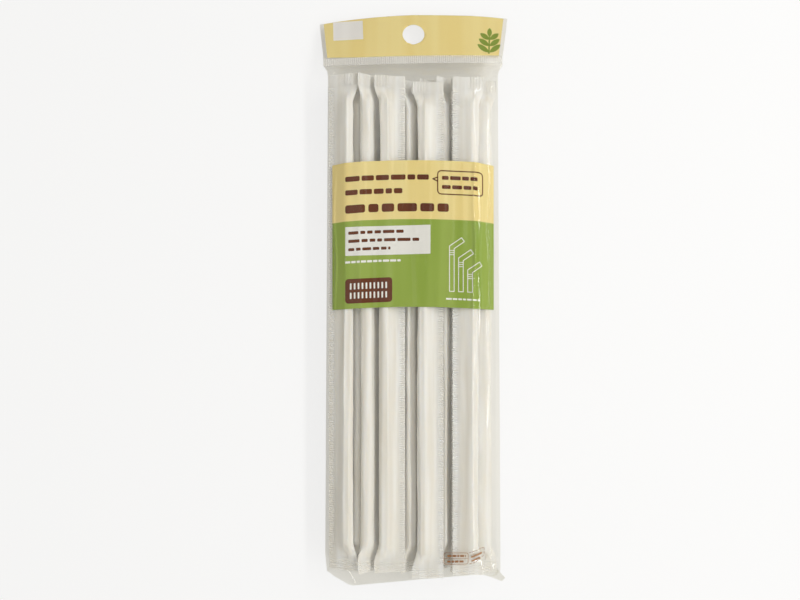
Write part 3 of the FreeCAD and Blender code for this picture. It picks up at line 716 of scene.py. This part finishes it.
def new_grid(name, size_across, size_along):
    """A flat grid of that many faces, whose corners are in rows from the bottom left."""
    clear_selection()
    bpy.ops.mesh.primitive_grid_add(x_subdivisions=size_across, y_subdivisions=size_along, size=1)
    return name_piece(bpy.context.object, name)


def grid_on(name, rows, heights=0):
    """A grid whose corners lie on rows of places, at their heights."""
    piece = new_grid(name, rows.shape[1] - 1, rows.shape[0] - 1)
    points = points_of(piece)
    points[:, :UP] = rows.reshape(-1, 2)
    points[:, UP] = np.ravel(heights)
    move_points(piece, points)
    return piece


def punch(piece):
    """Cuts the round hang hole: faces inside go, and the corners round them move onto the circle."""
    edit(piece, "FACE")
    for face in piece.data.polygons:
        offset = np.array(face.center[:2]) - HOLE_PLACE
        face.select = bool(np.hypot(offset[0], offset[1] / HOLE_TILT) < HOLE_RADIUS)
    in_edit_mode((bpy.ops.mesh.delete, {"type": "FACE"}))
    uses = np.zeros(len(piece.data.edges), int)
    for face in piece.data.polygons:
        for loop in face.loop_indices:
            uses[piece.data.loops[loop].edge_index] += 1
    points = points_of(piece)
    for edge in piece.data.edges:
        if uses[edge.index] == 1:
            for corner in edge.vertices:
                offset = points[corner][:2] - HOLE_PLACE
                offset[1] /= HOLE_TILT
                away = np.hypot(*offset)
                if away < RIM_REACH:
                    points[corner][:2] = HOLE_PLACE + offset / away * HOLE_RADIUS * (1, HOLE_TILT)
    move_points(piece, points)


def remember(piece, name, values):
    """Keeps a value for each corner with the mesh, so that it survives cuts and extrusions."""
    piece.data.attributes.new(name, "FLOAT", "POINT").data.foreach_set("value", values.ravel())


def recall(piece, name):
    """The values kept for each corner, which are then dropped."""
    values = np.empty(len(piece.data.vertices))
    piece.data.attributes[name].data.foreach_get("value", values)
    piece.data.attributes.remove(piece.data.attributes[name])
    return values


def film_bag():
    """The closed shell of film, from the bottom fold to the header's edge, with its hang hole."""
    piece = grid_on("film_bag", film_rows, front)
    remember(piece, "front", front)
    remember(piece, "back", back)
    punch(piece)
    in_edit_mode(SELECT_ALL, (bpy.ops.mesh.extrude_region_move,
                              {"TRANSFORM_OT_translate": {"value": (0, 0, -MM)}}))
    made_new = np.empty(len(piece.data.vertices), bool)
    piece.data.vertices.foreach_get("select", made_new)
    heights = recall(piece, "front"), recall(piece, "back")
    points = points_of(piece)
    points[:, UP] = np.where(made_new, heights[1], heights[0])
    move_points(piece, points)
    face_outwards(piece)
    bpy.ops.object.shade_smooth_by_angle(angle=math.radians(50))
    return piece


film = film_bag()

# %% [markdown]
# Clear film hides little: most light goes straight through, and a small share is reflected by a gloss
# that follows every crease. The shader is a mix of a see-through part and a glossy grey one. The grey
# takes a little light away, so that two layers of film look slightly darker than one.

# %% The clear film
FILM_GREY = (0.85, 0.85, 0.83, 1)
FILM_TINT = (0.985, 0.98, 0.96, 1)
FILM_SHARE = 0.055
RIPPLE_SIZE = 420
RIPPLE_HEIGHT = 0.12 * MM


def clear_film(name, colour, share, gloss):
    """A see-through film: a mix of plain passing light and a glossy surface of a colour."""
    material, nodes, links, shader, place = new_material(name)
    shader.inputs["Base Color"].default_value = colour
    shader.inputs["Roughness"].default_value = gloss
    shader.inputs["Metallic"].default_value = 1.0
    passing = nodes.new("ShaderNodeBsdfTransparent")
    passing.inputs["Color"].default_value = FILM_TINT
    mix_at_surface(nodes, links, passing.outputs["BSDF"], shader.outputs["BSDF"]).default_value = share
    ripple = stretched_noise(nodes, links, place, (1, 0.25, 1), RIPPLE_SIZE, 2)
    roughen(nodes, links, ripple, shader, 0.12, RIPPLE_HEIGHT)
    return material


film_material = clear_film("clear_film", FILM_GREY, FILM_SHARE, 0.07)
finish_piece(film, film_material, "film", "bag")

# %% [markdown]
# The print is on the inner side of the film: a cream header, and a band that is cream above and green
# below. Each field of colour is a thin sheet laid just under the film. It starts as a flat grid, its
# corners go to their places seen from the front, and then each drops to just below the film over it.
# The inks are matt, and the film over them gives the gloss. Soft streaks along the bag are painted shade
# and painted light: each ink is darker in some bands and lighter in others, standing in for where the film
# spans a gap or lies on a sleeve.

# %% The two fields of the band
# Each ink has a darker and a lighter tone. Its streaks of painted shade and painted light run between the
# two.
CREAM = (0.885, 0.745, 0.335, 1)
CREAM_DEEP = (0.86, 0.70, 0.285, 1)
GREEN = (0.275, 0.395, 0.052, 1)
GREEN_LIGHT = (0.335, 0.455, 0.085, 1)
BAND_LEFT, BAND_RIGHT = -37.2 * MM, 36.7 * MM
BAND_TOP, BAND_PARTING, BAND_FOOT = 63.9 * MM, 37.4 * MM, -2.1 * MM
BAND_DROP = 1.5 * MM
FIELD_DEPTH = 0.12 * MM
SHAPE_DEPTH = 0.08 * MM
TOP_DEPTH = 0.045 * MM
FIELD_COLUMNS, FIELD_ROWS = 150, 60
# The scale of the painted shade and light streaks along the bag: darker for film over gaps, lighter for
# film on sleeves.
INK_SHADE_STREAKS = (110, 5, 1)
film_surface = surface_of([film])


def ink(name, first, second):
    """A matt printed colour with soft streaks along the bag, which are painted shade and painted light for
    film over gaps and over sleeves.
    """
    material, nodes, links, shader, place = new_material(name)
    # Painted shade and light: darker and lighter streaks along the bag, for film over gaps and on sleeves.
    streaks = stretched_noise(nodes, links, place, INK_SHADE_STREAKS, 1, 1)
    links.new(two_colours(nodes, links, streaks, first, second, 0.4, 0.6), shader.inputs["Base Color"])
    shader.inputs["Roughness"].default_value = 0.6
    shader.inputs["Specular IOR Level"].default_value = 0.08
    return material


def lay_under_film(piece, depth):
    """Drops every corner of a flat piece to a depth below the film that is over it."""
    points = points_of(piece)
    for i, point in enumerate(points):
        height = height_at(film_surface, point[:2], 1)
        if height is None:
            height = film_surface.find_nearest(Vector(point))[0].z
        points[i][UP] = height - depth
    move_points(piece, points)


def sag(across):
    """How far a printed line is drawn down at a place across the bag, as it runs off to the sides."""
    return BAND_DROP * (across / BAND_LEFT) ** 2


def band_field(name, low, high, material):
    """One field of the band, from a lower to an upper printed line."""
    piece = new_grid(name, FIELD_COLUMNS, FIELD_ROWS)
    points = points_of(piece)
    share = points[:, :2] + 0.5
    points[:, ACROSS] = BAND_LEFT + share[:, 0] * (BAND_RIGHT - BAND_LEFT)
    points[:, ALONG] = low + share[:, 1] * (high - low) - sag(points[:, ACROSS])
    move_points(piece, points)
    lay_under_film(piece, FIELD_DEPTH)
    finish_piece(piece, material, "film")


cream_ink = ink("cream_ink", CREAM_DEEP, CREAM)
band_field("band_cream", BAND_PARTING, BAND_TOP, cream_ink)
band_field("band_green", BAND_FOOT, BAND_PARTING, ink("green_ink", GREEN, GREEN_LIGHT))

# %% [markdown]
# The header's field follows the bag's slanting sides and its arched edge, with a clear margin at each
# side, so it is laid on the same bent rows as the film. The hang hole goes through it too.

# %% The header's field
MARGIN = 0.022
HEADER_COLUMNS, HEADER_LINES = 120, 30
HEADER_END = 0.995


def header_field():
    """The cream sheet in the header, between the seal and the arched edge."""
    places = MARGIN + (1 - 2 * MARGIN) * np.linspace(0, 1, HEADER_COLUMNS + 1)
    rows = np.array([bent_row(share, SEAL_TOP, top_left, top_right, 1, places)
                     for share in np.linspace(0, HEADER_END, HEADER_LINES + 1)])
    piece = grid_on("header_cream", rows)
    punch(piece)
    lay_under_film(piece, FIELD_DEPTH)
    finish_piece(piece, cream_ink, "film")


header_field()

# %% [markdown]
# Everything else in the print is made of a few flat shapes: bars in the place of lines of text, boxes,
# rings, and leaves. Each is a plane or a disc that is shaped in edit mode. All shapes of one colour are
# joined, cut into narrow strips so that they can bend, and laid between the fields and the film.

# %% Helpers for the printed shapes
STRIP = (BAND_RIGHT - BAND_LEFT) / FIELD_COLUMNS


def bar(left, low, right, high, corner=0.35, turn=0):
    """A flat box with rounded corners, in millimetres, turned by some degrees about its middle."""
    clear_selection()
    middle = ((left + right) / 2 * MM, (low + high) / 2 * MM, 0)
    bpy.ops.mesh.primitive_plane_add(size=1, location=middle)
    piece = bpy.context.object
    piece.scale = ((right - left) * MM, (high - low) * MM, 1)
    piece.rotation_euler[UP] = math.radians(turn)
    bpy.ops.object.transform_apply(location=False)
    reach = min(corner, 0.49 * min(right - left, high - low)) * MM
    in_edit_mode(SELECT_ALL, (bpy.ops.mesh.bevel, {"offset": reach, "segments": 3, "affect": "VERTICES"}))
    bpy.ops.object.transform_apply()
    return piece


def ring(left, low, right, high, width, corner=1.0, turn=0):
    """The outline of a rounded box, as a band of some width."""
    piece = bar(left, low, right, high, corner, turn)
    in_edit_mode(SELECT_ALL, (bpy.ops.mesh.inset, {"thickness": width * MM}),
                 (bpy.ops.mesh.delete, {"type": "FACE"}))
    return piece


def leaf(across, along, length, width, turn):
    """A flat leaf, pointed at both ends, that starts at a place and points along an angle."""
    clear_selection()
    bpy.ops.mesh.primitive_circle_add(vertices=20, radius=0.5, fill_type="NGON")
    piece = bpy.context.object
    points = points_of(piece)
    points[:, ALONG] *= np.sqrt(np.clip(1 - (2 * points[:, ACROSS]) ** 2, 0, 1)) ** 0.6
    points[:, ACROSS] += 0.5
    points *= (length * MM, width * MM, 1)
    angle = math.radians(turn)
    turned = points[:, :2] @ np.array([[math.cos(angle), math.sin(angle)],
                                       [-math.sin(angle), math.cos(angle)]])
    points[:, :2] = turned + (across * MM, along * MM)
    move_points(piece, points)
    return piece


def join(pieces, name):
    """Makes one piece of several."""
    clear_selection()
    for piece in pieces:
        piece.select_set(True)
    bpy.context.view_layer.objects.active = pieces[0]
    if len(pieces) > 1:
        bpy.ops.object.join()
    return name_piece(pieces[0], name)


def strip_cuts(points, axis, step):
    """Where a flat piece is cut across or along, in step with the field of colour under it."""
    low, high = points[:, axis].min(), points[:, axis].max()
    first = math.ceil((low - BAND_LEFT) / step) if axis == ACROSS else math.ceil(low / step)
    start = BAND_LEFT if axis == ACROSS else 0
    normal = (1, 0, 0) if axis == ACROSS else (0, 1, 0)
    steps = []
    while start + first * step < high:
        spot = tuple((start + first * step) * n for n in normal)
        steps += [SELECT_ALL, (bpy.ops.mesh.bisect, {"plane_co": spot, "plane_no": normal})]
        first += 1
    return steps


def print_shapes(name, pieces, material, depth=SHAPE_DEPTH, sagging=True):
    """Joins flat shapes of one colour, cuts them into strips and lays them just under the film."""
    piece = join(pieces, name)
    points = points_of(piece)
    if sagging:
        points[:, ALONG] -= sag(points[:, ACROSS])
        move_points(piece, points)
    in_edit_mode(*strip_cuts(points, ACROSS, STRIP), *strip_cuts(points, ALONG, 3 * STRIP))
    lay_under_film(piece, depth)
    finish_piece(piece, material, "film")


# %% [markdown]
# Lines of text become rows of bars, as a designer's dummy has them: words of uneven length with a gap
# between, as long as the real lines and no letters at all.

# %% The dark brown shapes on the cream field
BROWN = (0.112, 0.021, 0.002, 1)
# The lighter brown of the painted shade and light streaks along the bag.
BROWN_PAINTED_LIGHT = (0.140, 0.032, 0.004, 1)
rng = random.Random(20)


def words(left, low, right, high, shortest, longest, gap):
    """A row of bars in the place of a line of text."""
    pieces = []
    while left < right - shortest / 2:
        end = min(right, left + rng.uniform(shortest, longest))
        pieces.append(bar(left, low, end, high, (high - low) / 4))
        left = end + gap
    return pieces


def stroke(points, width):
    """A line of some width through several points."""
    pieces = []
    for (x1, y1), (x2, y2) in zip(points, points[1:]):
        half = (math.hypot(x2 - x1, y2 - y1) + width) / 2
        x, y = (x1 + x2) / 2, (y1 + y2) / 2
        turn = math.degrees(math.atan2(y2 - y1, x2 - x1))
        pieces.append(bar(x - half, y - width / 2, x + half, y + width / 2, width / 3, turn))
    return pieces


brown = words(-31.0, 55.2, 7.6, 57.5, 2.2, 7.0, 0.9)
brown += words(-31.0, 49.1, -4.6, 51.4, 2.2, 6.0, 0.9)
brown += words(-31.0, 40.9, 18.6, 44.6, 4.0, 9.0, 1.5)
brown += [ring(10.4, 48.6, 31.4, 59.6, 0.5, 1.8)]
brown += stroke([(10.6, 56.4), (8.5, 55.6), (10.6, 54.6)], 0.5)
brown += words(12.6, 55.3, 29.4, 57.0, 2.0, 5.0, 0.7)
brown += words(12.6, 51.2, 29.4, 52.9, 2.0, 5.0, 0.7)
brown += words(-29.6, 31.3, -3.6, 32.7, 2.0, 6.5, 0.9)
brown += words(-29.6, 27.6, 3.8, 29.0, 2.0, 6.5, 0.9)
brown += words(-29.6, 23.9, -10.6, 25.2, 2.0, 5.0, 0.8)
brown_ink = ink("brown_ink", BROWN, BROWN_PAINTED_LIGHT)
print_shapes("print_brown", brown, brown_ink, TOP_DEPTH)

# %% [markdown]
# On the green field there is a pale label, a brown tag and a line drawing in white. The drawing here is
# a generic one: three bendy straws in outline, each a step lower than the one before, with a few strokes
# for the bellows. The tag shows two rows of ten strokes, one for each straw in the bag.

# %% The shapes on the green field
# The label's two greys are the ends of its painted shade and light streaks.
LABEL_GREY = (0.82, 0.82, 0.80, 1)
LABEL_PALE = (0.88, 0.88, 0.865, 1)
WHITE_INK = (0.93, 0.94, 0.90, 1)
# The darker white of the painted shade and light streaks along the bag.
WHITE_PAINTED_SHADE = (0.88, 0.89, 0.85, 1)
LINE = 0.36
BEND = math.radians(54)

print_shapes("print_label", [bar(-31.0, 21.9, 7.4, 34.9, 0.15)], ink("label_ink", LABEL_GREY, LABEL_PALE))
print_shapes("print_tag", [bar(-31.0, 0.3, -9.8, 11.4, 1.4)], ink("tag_ink", BROWN, BROWN_PAINTED_LIGHT))


def bent_straw(across, foot, bend, reach, half):
    """The outline of a bendy straw, with the strokes of its bellows."""
    head = np.array([math.sin(BEND), math.cos(BEND)])
    upright, leaning = np.array([-1, 0]), np.array([-head[1], head[0]])
    corner = half * (upright + leaning) / (1 + upright @ leaning)
    joint = np.array([across, bend])
    tip = joint + reach * head
    outline = [(across - half, foot), joint + corner, tip + half * leaning, tip - half * leaning,
               joint - corner, (across + half, foot), (across - half, foot)]
    folds = []
    for level in range(3):
        height = bend - 1.4 - 0.95 * level
        folds += stroke([(across - half, height), (across + half, height)], LINE * 0.8)
    return stroke(outline, LINE) + folds


white = words(-31.0, 18.4, -6.0, 19.4, 1.2, 3.0, 0.45) + words(14.4, 1.4, 29.8, 2.2, 1.2, 2.6, 0.45)
for step in range(3):
    white += bent_straw(17.0 + 4.1 * step, 5.2, 25.0 - 5.2 * step, 6.2, 1.05)
for row in range(2):
    for column in range(10):
        left = -28.9 + 1.78 * column
        white.append(bar(left, 2.3 + 4.2 * row, left + 0.75, 5.2 + 4.2 * row, 0.3))
white_ink = ink("white_ink", WHITE_PAINTED_SHADE, WHITE_INK)
print_shapes("print_white", white, white_ink, TOP_DEPTH)

# %% [markdown]
# The header has a bare pale panel at its left and a green sprig of leaves at its right. The bottom right
# corner of the bag has a small outlined mark in brown: a divided box, and a slanting dashed one.

# %% The shapes on the header and at the bottom
# Each pair of tones below is the darker and lighter end of that ink's painted shade and light streaks.
SPRIG = (0.215, 0.30, 0.033, 1)
SPRIG_LIGHT = (0.25, 0.34, 0.05, 1)
PANEL = (0.84, 0.825, 0.82, 1)
PANEL_LIGHT = (0.89, 0.88, 0.88, 1)
MARK_LINE = 0.24
MARK_BROWN = (0.30, 0.14, 0.06, 1)
# The lighter brown of the mark's painted shade and light streaks.
MARK_PAINTED_LIGHT = (0.42, 0.24, 0.13, 1)

print_shapes("print_panel", [bar(-37.7, 122.7, -23.7, 132.3, 0.2, 2.5)],
             ink("panel_ink", PANEL, PANEL_LIGHT), SHAPE_DEPTH, False)
sprig = [bar(35.0, 115.6, 35.75, 125.0, 0.3, -4)]
for level in range(3):
    foot = 116.4 + 3.3 * level
    sprig.append(leaf(35.5 + 0.2 * level, foot, 6.6 - 0.7 * level, 2.5, 38))
    sprig.append(leaf(35.1 + 0.2 * level, foot, 6.6 - 0.7 * level, 2.5, 142))
sprig.append(leaf(35.7, 124.4, 4.6, 2.2, 88))
print_shapes("print_sprig", sprig, ink("sprig_ink", SPRIG, SPRIG_LIGHT), SHAPE_DEPTH, False)

mark = [ring(13.4, -118.5, 24.6, -112.8, MARK_LINE, 1.1)]
mark += stroke([(13.6, -115.7), (24.5, -115.7)], MARK_LINE * 0.7)
mark += words(15.0, -114.9, 23.4, -113.9, 0.8, 2.0, 0.35)
mark += words(15.0, -117.6, 23.0, -116.6, 0.8, 2.0, 0.35)
DASHED = [(24.8, -112.9), (31.9, -111.1), (31.9, -114.7), (27.8, -117.9), (24.8, -118.4)]
for start, end in zip(DASHED, DASHED[1:]):
    run = np.subtract(end, start)
    count = round(np.hypot(*run) / 1.5)
    for dash in range(count):
        mark += stroke([start + run * (dash + 0.15) / count, start + run * (dash + 0.7) / count], MARK_LINE)
mark += stroke([(26.2, -115.0), (30.4, -113.6)], 0.9) + stroke([(26.4, -117.0), (29.6, -115.8)], 0.8)
print_shapes("print_mark", mark, ink("mark_ink", MARK_BROWN, MARK_PAINTED_LIGHT), -0.03 * MM, False)

# %% [markdown]
# The seal was pressed by ribbed jaws, which left fine ribs across it that run along the bag. They are a
# grid with a column for each flank of a rib, one column up and the next down, laid on the film. Pressed
# film is milky, so its shader lets less light through. The jaws closed a little askew, so the strip
# rises to the right.

# %% The ribbed seal
SEAL_RIB = 0.085 * MM
RIBS = 86
SEAL_SKEW = 0.9 * MM
SEAL_BOW = 0.6 * MM
SEAL_RAISE = 0.7 * MM
SEAL_MARGIN = 0.004
SEAL_LINES = 7


def ribbed_seal():
    """A strip of zigzag ribs on the film, as long as the seal."""
    places = np.linspace(SEAL_MARGIN, 1 - SEAL_MARGIN, 2 * RIBS + 1)
    lift = SEAL_SKEW * (2 * places - 1) - SEAL_BOW * (2 * places - 1) ** 2
    rows = []
    for share in np.linspace(0, 1, SEAL_LINES):
        row = straight_row(SEAL_FOOT + share * (SEAL_TOP - SEAL_FOOT), places)
        row[:, 1] += lift + SEAL_RAISE
        rows.append(row)
    piece = grid_on("seal_ribs", np.array(rows))
    lay_under_film(piece, -SEAL_RIB - SHAPE_DEPTH)
    points = points_of(piece)
    zigzag = np.where(np.arange(2 * RIBS + 1) % 2 == 0, SEAL_RIB, -SEAL_RIB)
    points[:, UP] += np.tile(zigzag, SEAL_LINES)
    move_points(piece, points)
    finish_piece(piece, milky_film(), "film")


def milky_film():
    """Pressed film: matt and whitish, with a part of the light passing."""
    material = clear_film("milky_seal", (0.84, 0.83, 0.80, 1), 0.55, 0.45)
    material.node_tree.nodes["Principled BSDF"].inputs["Metallic"].default_value = 0.0
    return material


ribbed_seal()

# %% [markdown]
# The pack lies on a plain pale floor. The floor's own colour is pale, and what the camera sees of it is
# drawn towards white, so that the background is bright without more light on the pack. Seen through the
# film it keeps its own pale grey, as in the photo. Most light comes from a long narrow lamp at the right,
# which draws the streaks on the film. A soft one is nearer the pack, and a large one fills the shade.

# %% Floor, light and camera
CAMERA_PLACE = (-6.3 * MM, 1.0 * MM, 340 * MM)
LENS = 32
SENSOR = 36
FLOOR_COLOUR = (0.86, 0.86, 0.85, 1)
FLOOR_WHITE = 0.75
FLOOR_BEHIND_FILM = 0.25
FLOOR_SIZE = 4
FLOOR_DROP = 0.1 * MM
WORLD_COLOUR = (1.0, 0.975, 0.92, 1)
WORLD_STRENGTH = 0.44


def calculate(nodes, links, operation, *values):
    """The result of a math node on numbers and other nodes' results."""
    node = nodes.new("ShaderNodeMath")
    node.operation = operation
    for socket, value in zip(node.inputs, values):
        if isinstance(value, float):
            socket.default_value = value
        else:
            links.new(value, socket)
    return node.outputs["Value"]


def floor():
    """A wide pale floor just under the pack."""
    clear_selection()
    bpy.ops.mesh.primitive_plane_add(size=FLOOR_SIZE, location=(0, 0, -FLOOR_DROP))
    piece = name_piece(bpy.context.object, "floor")
    material, nodes, links, shader = new_material("floor_pale")[:4]
    shader.inputs["Base Color"].default_value = FLOOR_COLOUR
    shader.inputs["Roughness"].default_value = 0.9
    white = nodes.new("ShaderNodeEmission")
    ray = nodes.new("ShaderNodeLightPath").outputs
    seen = calculate(nodes, links, "MAXIMUM", ray["Is Camera Ray"], ray["Is Glossy Ray"])
    seen = calculate(nodes, links, "MAXIMUM", seen, ray["Is Transmission Ray"])
    bare = calculate(nodes, links, "LESS_THAN", ray["Transparent Depth"], 0.5)
    whiteness = calculate(nodes, links, "MULTIPLY_ADD", bare, FLOOR_WHITE - FLOOR_BEHIND_FILM,
                          FLOOR_BEHIND_FILM)
    share = mix_at_surface(nodes, links, shader.outputs["BSDF"], white.outputs["Emission"])
    links.new(calculate(nodes, links, "MULTIPLY", seen, whiteness), share)
    piece.data.materials.append(material)


def lamp(name, place, target, width, height, power, colour):
    """A flat lamp that points at a target."""
    data = bpy.data.lights.new(name, "AREA")
    data.shape = "RECTANGLE"
    data.size = width
    data.size_y = height
    data.energy = power
    data.color = colour
    piece = bpy.data.objects.new(name, data)
    piece.location = place
    piece.rotation_euler = (Vector(target) - Vector(place)).to_track_quat("-Z", "Y").to_euler()
    bpy.context.scene.collection.objects.link(piece)


floor()
lamp("soft_lamp", (0.25, 0.16, 0.38), (0, 0, 0), 0.36, 0.46, 0.30, (1.0, 0.99, 0.97))
lamp("streak_lamp", (0.42, -0.05, 0.5), (0, -0.05, 0), 1.4, 0.06, 2.9, (1.0, 0.995, 0.985))
lamp("fill_lamp", (-0.4, -0.1, 0.7), (0, 0, 0), 0.9, 0.9, 0.75, (1.0, 0.97, 0.92))

world = bpy.data.worlds.new("studio")
bpy.context.scene.world = world
world.use_nodes = True
background = world.node_tree.nodes["Background"]
background.inputs["Color"].default_value = WORLD_COLOUR
background.inputs["Strength"].default_value = WORLD_STRENGTH

camera_data = bpy.data.cameras.new("camera")
camera_data.lens = LENS
camera_data.sensor_width = SENSOR
camera_data.clip_start = 0.01
camera = bpy.data.objects.new("camera", camera_data)
camera.location = CAMERA_PLACE
bpy.context.scene.collection.objects.link(camera)
bpy.context.scene.camera = camera
bpy.context.scene.view_settings.view_transform = "Standard"
